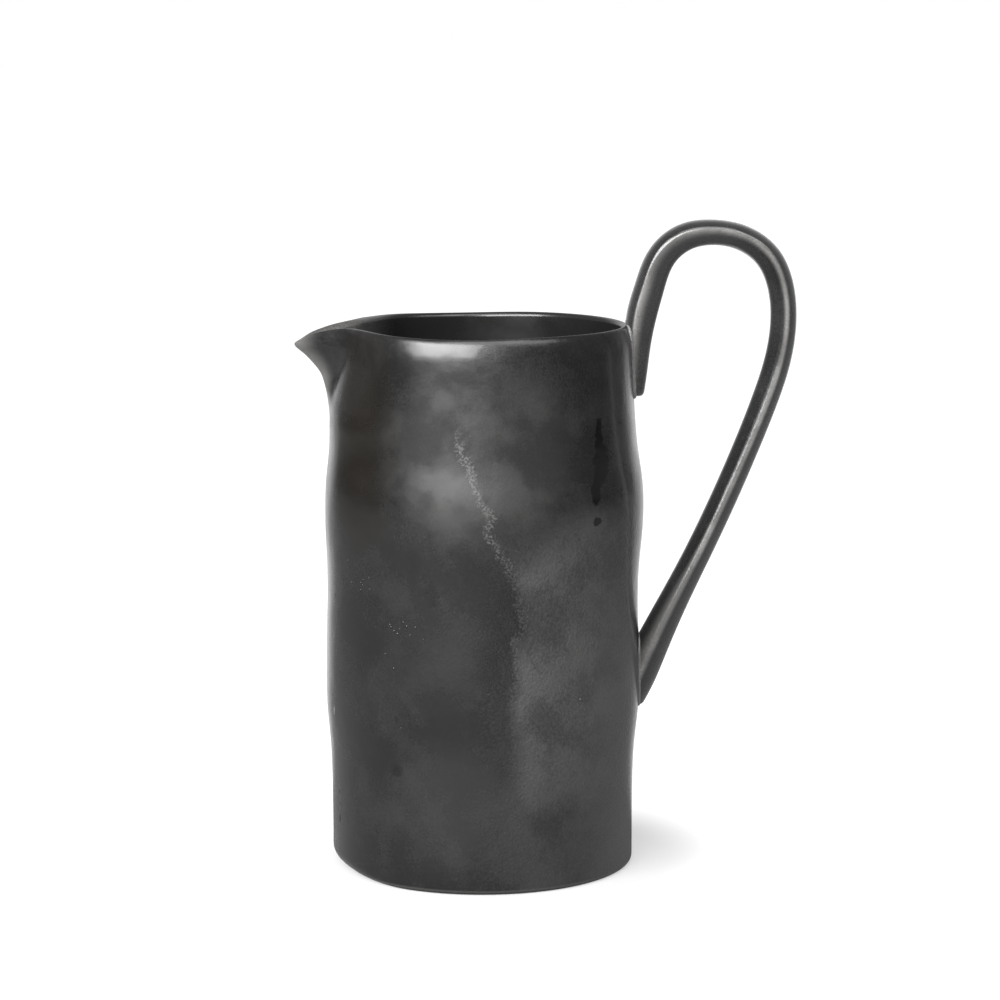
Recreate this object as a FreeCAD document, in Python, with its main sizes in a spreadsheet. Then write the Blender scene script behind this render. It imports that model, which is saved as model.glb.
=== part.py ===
import FreeCAD, Part
import math
import os
import Sketcher

# A tall hand-built ceramic pouring jug. Frame: +Z up, the origin is the centre of the
# foot on the table, the beak points to -X and the handle stands at +X.

# Driving dimensions in millimetres
SIZES = {
    "rim_height": 205.0,
    "body_radius": 60.4,
    "wall_thickness": 4.2,
    "base_height": 12.0,
    "floor_thickness": 6.5,
    "inner_corner_radius": 5.0,
    "heel_radius": 2.2,
    "foot_width": 9.0,
    "foot_recess": 1.5,
    "spout_reach": 9.9,
    "spout_width": 39.8,
    "spout_height": 30.0,
    "spout_drop": 6.1,
    "spout_wall": 3.6,
    "handle_rise": 40.3,
    "handle_reach": 58.1,
    "handle_thickness": 10.0,
    "handle_width": 13.0,
    "handle_foot_height": 75.0,
    "tongue_length": 26.4,
    "slip_thickness": 0.8,
    "slip_margin": 1.3,
    "overrun": 8.0,
}

# Outline of the body: the radius as a share of the body radius, at rings that are evenly
# spaced from the seam over the base up to the rim
OUTLINE_SHARES = [0.951, 0.956, 0.981, 0.986, 0.980, 0.999, 0.9735, 0.952, 0.934]
RIM_ROUND_SHARE = 0.46
RIM_TURNS = (30, 60, 90)

# How far the wall is pressed in beside the spout on the top two rings, pole by pole out
# from the spout's middle
RING_POLES = 16
PINCH_SHARES = [(1.020, 0.950, 0.995), (0.935, 0.925, 0.968)]

# The spout from its lowest point up: height as a share of the spout's height, the crease where
# it leaves the wall as a share of the rim radius, and the nose as a share of the spout's reach
SPOUT_SHARES = [
    (-0.15, 1.025, -0.24),
    (0.15, 1.014, -0.15),
    (0.45, 0.979, 0.14),
    (0.75, 0.916, 1.05),
    (1.05, 0.850, 2.00),
]
# Poles of one side of a spout section: way to the nose, and share of the half width
BEAK_POLE_SHARES = [(0.0, 1.0), (0.24, 0.52), (0.75, 0.25)]
NOSE_POLE_SHARE = 1.125
NOSE_INSET_SHARE = 1.45
LEAST_WIDTH_SHARE = 0.06
SPOUT_BACK_SHARE = 0.55
# The lip of the spout seen from the side: way from the crease to the tip, share of the drop
LIP_SHARES = [(0.0, 0.0), (0.5, 0.0), (1.0, 0.9), (1.6, 2.6)]

# Handle stations, evenly spaced: height, way out, thickness and width shares
# Down the tongue: height over the tongue's length, way out from the rim over the thickness
TONGUE_SHARES = [
    (-1.00, 0.05, 0.73, 0.78),
    (-0.42, 0.19, 0.95, 0.96),
    (0.19, 0.40, 1.11, 1.02),
]
# Round the loop: height over the handle's rise, way out over its reach
LOOP_SHARES = [
    (0.574, 0.082, 1.13, 1.00),
    (0.925, 0.266, 1.06, 1.00),
    (0.994, 0.527, 0.97, 1.00),
    (0.838, 0.795, 0.98, 1.00),
    (0.490, 0.960, 1.00, 1.00),
    (0.084, 1.000, 1.02, 1.00),
]
# Down the leg: height over the distance from the handle's foot to the rim
LEG_SHARES = [
    (0.9015, 0.960, 1.01, 1.00),
    (0.7700, 0.859, 1.00, 1.00),
    (0.6385, 0.734, 1.00, 1.00),
    (0.5077, 0.605, 1.00, 1.00),
    (0.3846, 0.458, 1.02, 1.02),
    (0.2577, 0.306, 1.07, 1.05),
    (0.1500, 0.178, 1.17, 1.10),
    (0.0346, 0.058, 1.33, 1.15),
    (-0.0654, -0.058, 1.37, 1.18),
]
# How many stations before its last one the slip round the handle's foot begins
FOOT_STATIONS = 4
# A section of the handle, pole by pole from the loop's inside: thickness share, width share
HANDLE_POLE_SHARES = [
    (1.00, 0.00),
    (0.80, 0.78),
    (0.10, 1.06),
    (-0.74, 0.80),
    (-1.00, 0.00),
    (-0.74, -0.80),
    (0.10, -1.06),
    (0.80, -0.78),
]

doc = FreeCAD.newDocument("pouring_jug")
sheet = doc.addObject("Spreadsheet::Sheet", "Sizes")
for row, (alias, value) in enumerate(SIZES.items(), start=1):
    sheet.set(f"A{row}", alias)
    sheet.set(f"B{row}", str(value))
    sheet.setAlias(f"B{row}", alias)
doc.recompute()


def value_of(expression):
    return float(sheet.evalExpression(expression))


def new_body(label):
    body = doc.addObject("PartDesign::Body", label)
    body.Label = label
    return body


def new_sketch(body, name, role):
    """A sketch on one of its own body's origin planes."""
    plane = next(f for f in body.Origin.OriginFeatures if f.Role == role)
    sketch = body.newObject("Sketcher::SketchObject", name)
    sketch.AttachmentSupport = [(plane, "")]
    sketch.MapMode = "FlatFace"
    return sketch


def pin_point(sketch, geometry, vertex, x, y):
    """Hold one point of a sketch at two sheet expressions."""
    for kind, expression in (("DistanceX", x), ("DistanceY", y)):
        held = Sketcher.Constraint(kind, -1, 1, geometry, vertex, value_of(expression))
        index = sketch.addConstraint(held)
        sketch.setExpression(f"Constraints[{index}]", expression)


def draw_spline(sketch, poles, closed):
    """A cubic B-spline whose poles are held at sheet expressions; returns its index."""
    points = [FreeCAD.Vector(value_of(x), value_of(y), 0) for x, y in poles]
    first = sketch.GeometryCount
    for point in points:
        sketch.addGeometry(Part.Circle(point, FreeCAD.Vector(0, 0, 1), 1), True)
    spline = Part.BSplineCurve(points, None, None, closed, 3, None, False)
    curve = sketch.addGeometry(spline, False)
    rules = [Sketcher.Constraint("Weight", first, 1.0)]
    for number in range(1, len(points)):
        rules.append(Sketcher.Constraint("Equal", first, first + number))
    control = "InternalAlignment:Sketcher::BSplineControlPoint"
    for number in range(len(points)):
        rules.append(Sketcher.Constraint(control, first + number, 3, curve, number))
    sketch.addConstraint(rules)
    for number, (x, y) in enumerate(poles):
        pin_point(sketch, first + number, 3, x, y)
    return curve


def draw_outline(sketch, points):
    """A closed polygon whose corners are held at sheet expressions."""
    places = [FreeCAD.Vector(value_of(x), value_of(y), 0) for x, y in points]
    count = len(places)
    for number, place in enumerate(places):
        sketch.addGeometry(Part.LineSegment(place, places[(number + 1) % count]), False)
    for number in range(count):
        sketch.addConstraint(Sketcher.Constraint("Coincident", number, 2, (number + 1) % count, 1))
    for number, (x, y) in enumerate(points):
        pin_point(sketch, number, 1, x, y)


def loft_through(body, sketches, name):
    loft = body.newObject("PartDesign::AdditiveLoft", name)
    loft.Profile = sketches[0]
    loft.Sections = sketches[1:]
    loft.Ruled = False
    return loft


def boolean(kind, name, base, tool):
    result = doc.addObject(f"Part::{kind}", name)
    result.Base = base
    result.Tool = tool
    result.Refine = False
    return result


# A spline through a ring of equal poles runs inside them by this share
def pole_share(count):
    return 3 / (2 + math.cos(2 * math.pi / count))


# Edges within this distance of a wanted radius and height are the ones that are rounded
SAME_PLACE = 0.001

RIM_RADIUS = f"Sizes.body_radius * {OUTLINE_SHARES[-1]}"
RIM_ROUND = f"Sizes.wall_thickness * {RIM_ROUND_SHARE}"


def ring_section(body, name, height, radius, pinch):
    """A round section of the body, pressed in beside the spout."""
    sketch = new_sketch(body, name, "XY_Plane")
    sketch.setExpression("AttachmentOffset.Base.z", height)
    poles = []
    for number in range(RING_POLES):
        from_spout = abs(number - RING_POLES // 2)
        share = pole_share(RING_POLES)
        if from_spout < len(pinch):
            share *= pinch[from_spout]
        angle = 2 * math.pi * number / RING_POLES
        across = share * math.cos(angle)
        along = share * math.sin(angle)
        poles.append((f"({radius}) * {across:.6f}", f"({radius}) * {along:.6f}"))
    draw_spline(sketch, poles, True)
    return sketch


def body_form(label, offset, below):
    """The solid form of the body up to where its rim starts to round."""
    body = new_body(label)
    top = len(OUTLINE_SHARES) - 1
    sections = []
    for number, out in enumerate(OUTLINE_SHARES):
        rise = f"(Sizes.rim_height - {RIM_ROUND} - Sizes.base_height) * {number} / {top}"
        height = f"Sizes.base_height + {rise}"
        if number == 0:
            height = f"{height} - {below}"
        radius = f"Sizes.body_radius * {out} + {offset}"
        pinched = number - top + len(PINCH_SHARES) - 1
        pinch = PINCH_SHARES[pinched] if pinched >= 0 else ()
        sections.append(ring_section(body, f"{label}Ring{number}", height, radius, pinch))
    loft_through(body, sections, label + "Loft")
    return body, sections[-1]


def round_rim(body, edge, centre, swing, rise):
    """A quarter round on top of a form, from its top edge about a centre radius."""
    sections = [edge]
    for turn in RIM_TURNS:
        across = math.cos(math.radians(turn))
        up = math.sin(math.radians(turn))
        height = f"Sizes.rim_height - {RIM_ROUND} + {rise} * {up:.4f}"
        radius = f"{centre} + {swing} * {across:.4f}"
        name = f"{body.Label}Turn{turn}"
        sections.append(ring_section(body, name, height, radius, PINCH_SHARES[-1]))
    loft_through(body, sections, body.Label + "Rim")


def outer_form(label, offset):
    """The outside of the body, grown by an offset and rounded over at the rim."""
    body, edge = body_form(label, offset, "0")
    grown = f"({RIM_ROUND} + {offset})"
    round_rim(body, edge, f"{RIM_RADIUS} - {RIM_ROUND}", grown, grown)
    return body


def cavity_form():
    """The inside of the body, opened out at the rim."""
    body, edge = body_form("cavity_form", "(0 - Sizes.wall_thickness)", "Sizes.overrun")
    centre = f"{RIM_RADIUS} - Sizes.wall_thickness + {RIM_ROUND}"
    round_rim(body, edge, centre, f"(0 - {RIM_ROUND})", RIM_ROUND)
    return body


def make_base():
    """The floor slab: a turned foot, a rounded heel and a rounded inner corner."""
    body = new_body("base_form")
    sketch = new_sketch(body, "BaseProfile", "XZ_Plane")
    outer = f"Sizes.body_radius * {OUTLINE_SHARES[0]}"
    inner = f"{outer} - Sizes.wall_thickness"
    foot = f"{outer} - Sizes.heel_radius - Sizes.foot_width"
    draw_outline(sketch, [
        ("0", "Sizes.foot_recess"),
        (f"{foot} - Sizes.foot_recess", "Sizes.foot_recess"),
        (foot, "0"),
        (outer, "0"),
        (outer, "Sizes.base_height"),
        (inner, "Sizes.base_height"),
        (inner, "Sizes.floor_thickness"),
        ("0", "Sizes.floor_thickness"),
    ])
    turned = body.newObject("PartDesign::Revolution", "BaseTurned")
    turned.Profile = sketch
    turned.ReferenceAxis = (sketch, ["V_Axis"])
    turned.Angle = 360
    doc.recompute()
    heel = round_edges(body, turned, "Heel", "Sizes.heel_radius", outer, "0")
    return round_edges(body, heel, "InnerCorner", "Sizes.inner_corner_radius", inner,
                       "Sizes.floor_thickness")


def round_edges(body, feature, name, size, radius, height):
    """Round the circular edges of a feature that have this radius and height."""
    found = []
    for number, edge in enumerate(feature.Shape.Edges, start=1):
        curve = edge.Curve
        if not isinstance(curve, Part.Circle):
            continue
        same_radius = math.isclose(curve.Radius, value_of(radius), abs_tol=SAME_PLACE)
        same_height = math.isclose(curve.Center.z, value_of(height), abs_tol=SAME_PLACE)
        if same_radius and same_height:
            found.append(f"Edge{number}")
    fillet = body.newObject("PartDesign::Fillet", name)
    fillet.Base = (feature, found)
    fillet.setExpression("Radius", size)
    doc.recompute()
    return fillet


def crease_expressions(up, corner):
    """Height, half width and crease place of a spout section."""
    height = f"Sizes.rim_height - Sizes.spout_height * {1 - up:.4f}"
    width_share = max(up, LEAST_WIDTH_SHARE)
    half_width = f"Sizes.spout_width / 2 * {width_share:.4f}"
    crease = f"{RIM_RADIUS} * {corner}"
    return height, half_width, crease


def spout_form(label, root_inset, inset):
    """The beak as a closed solid, drawn in by one inset at its root and one at its nose."""
    body = new_body(label)
    sections = []
    for number, (up, corner, nose) in enumerate(SPOUT_SHARES):
        height, half_width, crease = crease_expressions(up, corner)
        start = f"({crease} - {root_inset})"
        tip = f"(Sizes.body_radius + Sizes.spout_reach * {nose} - {inset} * {NOSE_INSET_SHARE})"
        reach = f"({tip} - {start})"
        half = []
        for along, across in BEAK_POLE_SHARES:
            half.append((f"0 - {start} - {reach} * {along}", f"{half_width} * {across}"))
        nose_pole = (f"0 - {start} - {reach} * {NOSE_POLE_SHARE}", "0")
        other = [(x, f"0 - {y}") for x, y in reversed(half)]
        sketch = new_sketch(body, f"{label}Section{number}", "XY_Plane")
        sketch.setExpression("AttachmentOffset.Base.z", height)
        curve = draw_spline(sketch, half + [nose_pole] + other, False)
        close_behind(sketch, curve, half[0], other[-1])
        sections.append(sketch)
    loft_through(body, sections, label + "Loft")
    return body


def close_behind(sketch, curve, start, end):
    """Close a spout section with three straight sides towards the jug's axis."""
    back = f"0 - {RIM_RADIUS} * {SPOUT_BACK_SHARE}"
    corners = [end, (back, end[1]), (back, start[1]), start]
    places = [FreeCAD.Vector(value_of(x), value_of(y), 0) for x, y in corners]
    sides = []
    for first, second in zip(places, places[1:]):
        sides.append(sketch.addGeometry(Part.LineSegment(first, second), False))
    sketch.addConstraint(Sketcher.Constraint("Coincident", curve, 2, sides[0], 1))
    sketch.addConstraint(Sketcher.Constraint("Coincident", sides[0], 2, sides[1], 1))
    sketch.addConstraint(Sketcher.Constraint("Coincident", sides[1], 2, sides[2], 1))
    sketch.addConstraint(Sketcher.Constraint("Coincident", sides[2], 2, curve, 1))
    pin_point(sketch, sides[1], 1, *corners[1])
    pin_point(sketch, sides[2], 1, *corners[2])


def notch_form():
    """The V that is cut from the wall to take the spout."""
    body = new_body("notch_form")
    sketch = new_sketch(body, "NotchTriangle", "YZ_Plane")
    top = "Sizes.rim_height + Sizes.overrun"
    half_top = "Sizes.spout_width / 2 * (1 + Sizes.overrun / Sizes.spout_height)"
    draw_outline(sketch, [
        ("0", "Sizes.rim_height - Sizes.spout_height"),
        (half_top, top),
        (f"0 - {half_top}", top),
    ])
    sketch.setExpression("AttachmentOffset.Base.z", f"0 - {RIM_RADIUS} * {SPOUT_BACK_SHARE}")
    pad = body.newObject("PartDesign::Pad", "NotchPad")
    pad.Profile = sketch
    pad.Reversed = True
    pad.setExpression("Length", "Sizes.body_radius + Sizes.spout_reach * 2 + Sizes.overrun")
    return body


def lip_cutter():
    """Everything above the drooping lip of the spout."""
    body = new_body("lip_form")
    sketch = new_sketch(body, "LipProfile", "XZ_Plane")
    crease = f"{RIM_RADIUS} * {SPOUT_SHARES[-1][1]}"
    run = f"(Sizes.body_radius + Sizes.spout_reach - {crease})"
    start = f"0 - {crease}"
    top = "Sizes.rim_height + Sizes.overrun * 2"
    back = f"0 - {RIM_RADIUS} * {SPOUT_BACK_SHARE} + Sizes.overrun"
    lip = []
    for along, down in LIP_SHARES:
        lip.append((f"{start} - {run} * {along}", f"Sizes.rim_height - Sizes.spout_drop * {down}"))
    curve = draw_spline(sketch, lip, False)
    corners = [lip[-1], (lip[-1][0], top), (back, top), (back, "Sizes.rim_height"), lip[0]]
    places = [FreeCAD.Vector(value_of(x), value_of(y), 0) for x, y in corners]
    sides = []
    for first, second in zip(places, places[1:]):
        sides.append(sketch.addGeometry(Part.LineSegment(first, second), False))
    sketch.addConstraint(Sketcher.Constraint("Coincident", curve, 2, sides[0], 1))
    for before, after in zip(sides, sides[1:]):
        sketch.addConstraint(Sketcher.Constraint("Coincident", before, 2, after, 1))
    sketch.addConstraint(Sketcher.Constraint("Coincident", sides[-1], 2, curve, 1))
    for side, corner in zip(sides[1:], corners[1:]):
        pin_point(sketch, side, 1, *corner)
    pad = body.newObject("PartDesign::Pad", "LipPad")
    pad.Profile = sketch
    pad.Midplane = True
    pad.setExpression("Length", "Sizes.spout_width * 2")
    return body


def handle_stations():
    """Places of the handle's sections as expressions: x, z, thickness, width."""
    stations = []
    for up, out, thick, wide in TONGUE_SHARES:
        x = f"({RIM_RADIUS} + Sizes.handle_thickness * {out})"
        z = f"(Sizes.rim_height + Sizes.tongue_length * {up})"
        stations.append((x, z, thick, wide))
    reach = "(Sizes.handle_reach - Sizes.handle_thickness / 2)"
    rise = "(Sizes.handle_rise - Sizes.handle_thickness / 2)"
    leg = "(Sizes.rim_height - Sizes.handle_foot_height)"
    for up, out, thick, wide in LOOP_SHARES:
        x = f"(Sizes.body_radius + {reach} * {out})"
        stations.append((x, f"(Sizes.rim_height + {rise} * {up})", thick, wide))
    for up, out, thick, wide in LEG_SHARES:
        x = f"(Sizes.body_radius + {reach} * {out})"
        stations.append((x, f"(Sizes.handle_foot_height + {leg} * {up})", thick, wide))
    return stations


def handle_form(label, first, last, margin):
    """The handle between two of its stations, grown all round by a margin."""
    body = new_body(label)
    stations = handle_stations()
    sections = []
    for number in range(first, last + 1):
        before = stations[max(number - 1, 0)]
        after = stations[min(number + 1, len(stations) - 1)]
        x, z, thick, wide = stations[number]
        sketch = new_sketch(body, f"{label}Station{number}", "XY_Plane")
        turn = FreeCAD.Rotation(FreeCAD.Vector(0, 1, 0), 1)
        sketch.AttachmentOffset = FreeCAD.Placement(FreeCAD.Vector(), turn)
        sketch.setExpression("AttachmentOffset.Base.x", x)
        sketch.setExpression("AttachmentOffset.Base.z", z)
        tilt = f"atan2({after[0]} - {before[0]}; {after[1]} - {before[1]})"
        sketch.setExpression("AttachmentOffset.Rotation.Angle", tilt)
        half_thick = f"(Sizes.handle_thickness / 2 * {thick} + {margin})"
        half_wide = f"(Sizes.handle_width / 2 * {wide} + {margin})"
        poles = []
        for in_plane, across in HANDLE_POLE_SHARES:
            grown = pole_share(len(HANDLE_POLE_SHARES))
            poles.append((f"{half_thick} * {in_plane * grown:.6f}",
                          f"{half_wide} * {across * grown:.6f}"))
        draw_spline(sketch, poles, True)
        sections.append(sketch)
    loft_through(body, sections, label + "Loft")
    return body


def make_spout(notch):
    outer = spout_form("beak_form", "0", "0")
    inner = spout_form("beak_hollow", "Sizes.wall_thickness", "Sizes.spout_wall")
    shell = boolean("Cut", "SpoutShell", outer, inner)
    trimmed = boolean("Cut", "SpoutLip", shell, lip_cutter())
    return boolean("Common", "spout", trimmed, notch)


def slip_pad(name, first, last, seat, vessel):
    """The slip between the wall and the handle, standing out round the handle's end."""
    pad = handle_form(f"{name}_form", first, last, "Sizes.slip_margin")
    layer = boolean("Common", f"{name}_layer", pad, seat)
    return boolean("Cut", name, layer, vessel)


vessel = outer_form("vessel_form", "0")
seat = outer_form("seat_form", "Sizes.slip_thickness")
notch = notch_form()
shell = boolean("Cut", "WallShell", vessel, cavity_form())

last_tongue = len(TONGUE_SHARES)
last_station = len(TONGUE_SHARES) + len(LOOP_SHARES) + len(LEG_SHARES) - 1
pieces = {
    "body_wall": boolean("Cut", "body_wall", shell, notch),
    "base": make_base(),
    "spout": make_spout(notch),
    "handle": boolean("Cut", "handle", handle_form("handle_form", 0, last_station, "0"), seat),
    "upper_joint": slip_pad("upper_joint", 0, last_tongue, seat, vessel),
    "lower_joint": slip_pad("lower_joint", last_station - FOOT_STATIONS, last_station, seat, vessel),
}
doc.recompute()

for item in doc.Objects:
    if "Invalid" in item.State or "Error" in item.State:
        raise RuntimeError(f"{item.Label} failed: {item.State}")
for name, piece in pieces.items():
    shape = piece.Shape
    if shape.isNull() or not shape.isValid():
        raise RuntimeError(f"{name} has no valid shape")
    print(name, len(shape.Solids), round(shape.Volume, 1), shape.BoundBox)

os.makedirs("parts", exist_ok=True)
for name, piece in pieces.items():
    piece.Shape.exportStep(f"parts/{name}.step")
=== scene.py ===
import math

import bmesh
import bpy
import numpy as np
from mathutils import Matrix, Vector


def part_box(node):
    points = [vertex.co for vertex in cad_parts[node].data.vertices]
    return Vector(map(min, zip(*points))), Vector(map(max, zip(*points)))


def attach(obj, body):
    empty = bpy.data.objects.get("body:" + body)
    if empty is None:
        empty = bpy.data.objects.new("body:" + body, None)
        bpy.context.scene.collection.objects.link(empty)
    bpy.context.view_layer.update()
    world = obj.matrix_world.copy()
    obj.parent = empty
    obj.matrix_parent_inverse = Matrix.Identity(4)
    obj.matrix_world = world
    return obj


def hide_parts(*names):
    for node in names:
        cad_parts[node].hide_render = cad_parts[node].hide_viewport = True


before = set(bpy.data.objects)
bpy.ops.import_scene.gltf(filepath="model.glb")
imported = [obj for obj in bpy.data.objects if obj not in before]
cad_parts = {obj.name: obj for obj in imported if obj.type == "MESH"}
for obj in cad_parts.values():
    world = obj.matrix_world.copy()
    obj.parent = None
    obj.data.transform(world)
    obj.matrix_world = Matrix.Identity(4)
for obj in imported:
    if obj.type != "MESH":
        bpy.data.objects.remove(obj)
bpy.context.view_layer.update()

MM = 0.001

# Noise textures give values round this middle
NOISE_MIDDLE = 0.5

# Main sizes of the jug in millimetres, read from the frame
RIM_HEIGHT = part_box("body_wall")[1].z / MM
SEAM_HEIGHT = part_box("base")[1].z / MM
BODY_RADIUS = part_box("body_wall")[1].y / MM

# The wall: its radius at these heights, in shares of the widest, and how far its middle leans
# along X at others
WALL_THICKNESS = 4.2
OUTLINE_HEIGHTS = [0, 12, 30, 48, 60, 71, 87, 103, 118, 127, 136, 147, 158, 169, 187, 205]
OUTLINE_SHARES = [0.950, 0.950, 0.952, 0.965, 0.984, 0.989, 0.985, 0.978, 0.985, 0.995,
                  0.9995, 0.992, 0.969, 0.957, 0.947, 0.934]
LEAN_HEIGHTS = [0, 36, 75, 106, 135, 158, 175, 205]
LEANS = [0.2, 0.06, 0.3, 0.25, 0.85, 0.6, 0.0, 0.0]

# The rim: a long soft rounding outside, a short one inside and round the spout. The outer one
# changes between two angles from the spout's middle
RIM_OUTER_DEPTH = 2.3
RIM_OUTER_HEIGHT = 9.5
LIP_OUTER_DEPTH = 1.2
LIP_OUTER_HEIGHT = 1.9
RIM_INNER_HEIGHT = 1.8
RIM_CHANGE = (24.0, 64.0)

# The wall is pressed in on both sides of the spout, most at the upper height and the smaller angle
PRESS_DEPTH = 3.7
PRESS_HEIGHTS = (168.0, 197.0)
PRESS_ANGLES = (30.0, 58.0)

# The spout: its underside seen from the side, the angle of its flanks, and how the two run into the
# wall. The lip's drops are measured down from the rim's height, round the whole rim
NOSE_HEIGHTS = [160, 170, 175, 180, 184, 187.5, 190, 192.5, 195, 197.8, 201, 206]
NOSE_RADII = [55.5, 57.2, 57.9, 58.65, 59.6, 60.9, 62.7, 64.9, 67.5, 70.6, 71.2, 71.3]
FLANK_HEIGHTS = [170, 175, 180, 184, 191.5, 198, 206]
FLANK_ANGLES = [79, 78, 67, 52, 41.5, 36, 35.5]
NOSE_SOFTNESS = 1.3
SPOUT_THICKNESS = 3.4
CREASE_HEIGHTS = (184.0, 204.0)
CREASE_SOFTNESS = (0.7, 4.0)
INNER_SOFTNESS = 3.0
LIP_ANGLES = [0, 1.9, 3.9, 6.9, 10.4, 16, 22, 35, 45, 60, 85, 110, 130, 180]
LIP_DROPS = [6.1, 5.2, 3.4, 1.7, 0.5, -0.5, -0.9, -0.95, -0.8, -0.4, -0.1, -0.6, -0.75, -0.7]

# The V in the wall that takes the spout: its edge's height at degrees from its middle
NOTCH_ANGLE = 20.5
NOTCH_ANGLES = [0, 5.5, 11.8, NOTCH_ANGLE]
NOTCH_HEIGHTS = [175.0, 183.0, 191.5, 203.0]


def smooth_curve(knots, values):
    """A natural cubic spline through the given points, as a function."""
    x = np.asarray(knots, float)
    y = np.asarray(values, float)
    gap = np.diff(x)
    slope = np.diff(y, axis=0) / gap.reshape(-1, *[1] * (y.ndim - 1))
    count = len(x)
    system = np.eye(count)
    right = np.zeros_like(y)
    for i in range(1, count - 1):
        system[i, i - 1:i + 2] = gap[i - 1], 2 * (gap[i - 1] + gap[i]), gap[i]
        right[i] = 3 * (slope[i] - slope[i - 1])
    bend = np.linalg.solve(system, right)

    def at(t):
        t = np.clip(np.asarray(t, float), x[0], x[-1])
        i = np.clip(np.searchsorted(x, t) - 1, 0, count - 2)
        step = (t - x[i]).reshape(t.shape + (1,) * (y.ndim - 1))
        width = gap[i].reshape(step.shape)
        start = slope[i] - width * (2 * bend[i] + bend[i + 1]) / 3
        return y[i] + step * (start + step * (bend[i] + step * (bend[i + 1] - bend[i]) / (3 * width)))

    return at


def ease(value, low, high):
    """0 below low, 1 above high, and a smooth rise between them."""
    t = np.clip((value - low) / (high - low), 0, 1)
    return t * t * (3 - 2 * t)


def soft_max(a, b, softness):
    """The larger of two values, with the corner between them rounded."""
    near = np.clip(1 - np.abs(a - b) / softness, 0, 1)
    return np.maximum(a, b) + near * near * softness / 4


outline_share = smooth_curve(OUTLINE_HEIGHTS, OUTLINE_SHARES)
lean_at = smooth_curve(LEAN_HEIGHTS, LEANS)
nose_radius = smooth_curve(NOSE_HEIGHTS, NOSE_RADII)
flank_angle = smooth_curve(FLANK_HEIGHTS, FLANK_ANGLES)
lip_drop = smooth_curve(LIP_ANGLES, LIP_DROPS)
notch_height = smooth_curve(NOTCH_ANGLES, NOTCH_HEIGHTS)


def wall_radius(turn, height):
    """Outer radius of the wall without the spout. Turn is in degrees from the spout."""
    from_spout = np.abs(turn)
    press = ease(height, *PRESS_HEIGHTS) * (1 - ease(from_spout, *PRESS_ANGLES))
    lean = -lean_at(height) * np.cos(np.radians(turn))
    return BODY_RADIUS * outline_share(height) + lean - PRESS_DEPTH * press


def beak_radius(turn, height, inset):
    """Radius of the spout's beak, a wedge with a rounded nose, or of its channel."""
    angle = np.radians(flank_angle(height))
    side = np.minimum(np.radians(np.sqrt(turn * turn + NOSE_SOFTNESS ** 2)), math.pi / 2 - angle)
    front = math.radians(NOSE_SOFTNESS)
    spread = np.cos(side) + np.sin(side) / np.tan(angle)
    front_spread = np.cos(front) + np.sin(front) / np.tan(angle)
    return (nose_radius(height) - inset / np.sin(angle)) * front_spread / spread


def outer_radius(turn, height):
    """Outer radius of the vessel with its spout."""
    low, high = CREASE_SOFTNESS
    softness = low + (high - low) * ease(height, *CREASE_HEIGHTS)
    beak = beak_radius(turn, height, 0.0)
    return soft_max(wall_radius(turn, height), beak, softness)


def inner_radius(turn, height):
    """Inner radius of the vessel with the spout's channel."""
    channel = beak_radius(turn, height, SPOUT_THICKNESS)
    return soft_max(wall_radius(turn, height) - WALL_THICKNESS, channel, INNER_SOFTNESS)


def place(turn, radius, height):
    """Points at turns in degrees from the spout, which lies at -X, at radii and at heights."""
    angle = np.radians(turn) + math.pi
    x = radius * np.cos(angle)
    y = radius * np.sin(angle)
    return np.stack([x, y, np.broadcast_to(height, np.shape(radius))], axis=-1)


def rim_top(turn):
    """Height of the rim, which droops at the spout and is slightly uneven."""
    return RIM_HEIGHT - lip_drop(np.abs(turn))


def lip_section(turn, steps):
    """Radii and heights over the rim, from its outer side to its inner side."""
    change = ease(np.abs(turn), *RIM_CHANGE)
    depth = LIP_OUTER_DEPTH + (RIM_OUTER_DEPTH - LIP_OUTER_DEPTH) * change
    height = LIP_OUTER_HEIGHT + (RIM_OUTER_HEIGHT - LIP_OUTER_HEIGHT) * change
    top = rim_top(turn)
    inner_depth = outer_radius(turn, top) - depth - inner_radius(turn, top)
    rising = np.linspace(0, math.pi / 2, steps)[:, None]
    outer_heights = top - height * (1 - np.sin(rising))
    outer_radii = outer_radius(turn, outer_heights) - depth * (1 - np.cos(rising))
    falling = rising[::-1][1:]
    inner_heights = top - RIM_INNER_HEIGHT * (1 - np.sin(falling))
    inner_radii = inner_radius(turn, inner_heights) + inner_depth * (1 - np.cos(falling))
    return np.vstack([outer_radii, inner_radii]), np.vstack([outer_heights, inner_heights])


def rows_between(low, high, count):
    """Heights from low to high without the last one, for each column."""
    return low + (high - low) * (np.arange(count) / count)[:, None]


# Points closer than this are one point, and edges bent more than this stay sharp
MERGE_DISTANCE = 0.002
SHARP_ANGLE = 42.0


def new_piece(name, vertices, faces):
    """A mesh object from points in millimetres, smooth but for its sharp corners."""
    mesh = bpy.data.meshes.new(name)
    mesh.from_pydata([tuple(p) for p in np.asarray(vertices) * MM], [], faces)
    work = bmesh.new()
    work.from_mesh(mesh)
    bmesh.ops.remove_doubles(work, verts=work.verts, dist=MERGE_DISTANCE * MM)
    bmesh.ops.recalc_face_normals(work, faces=work.faces)
    work.to_mesh(mesh)
    work.free()
    mesh.polygons.foreach_set("use_smooth", [True] * len(mesh.polygons))
    mesh.set_sharp_from_angle(angle=math.radians(SHARP_ANGLE))
    piece = bpy.data.objects.new(name, mesh)
    bpy.context.scene.collection.objects.link(piece)
    return piece


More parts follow.
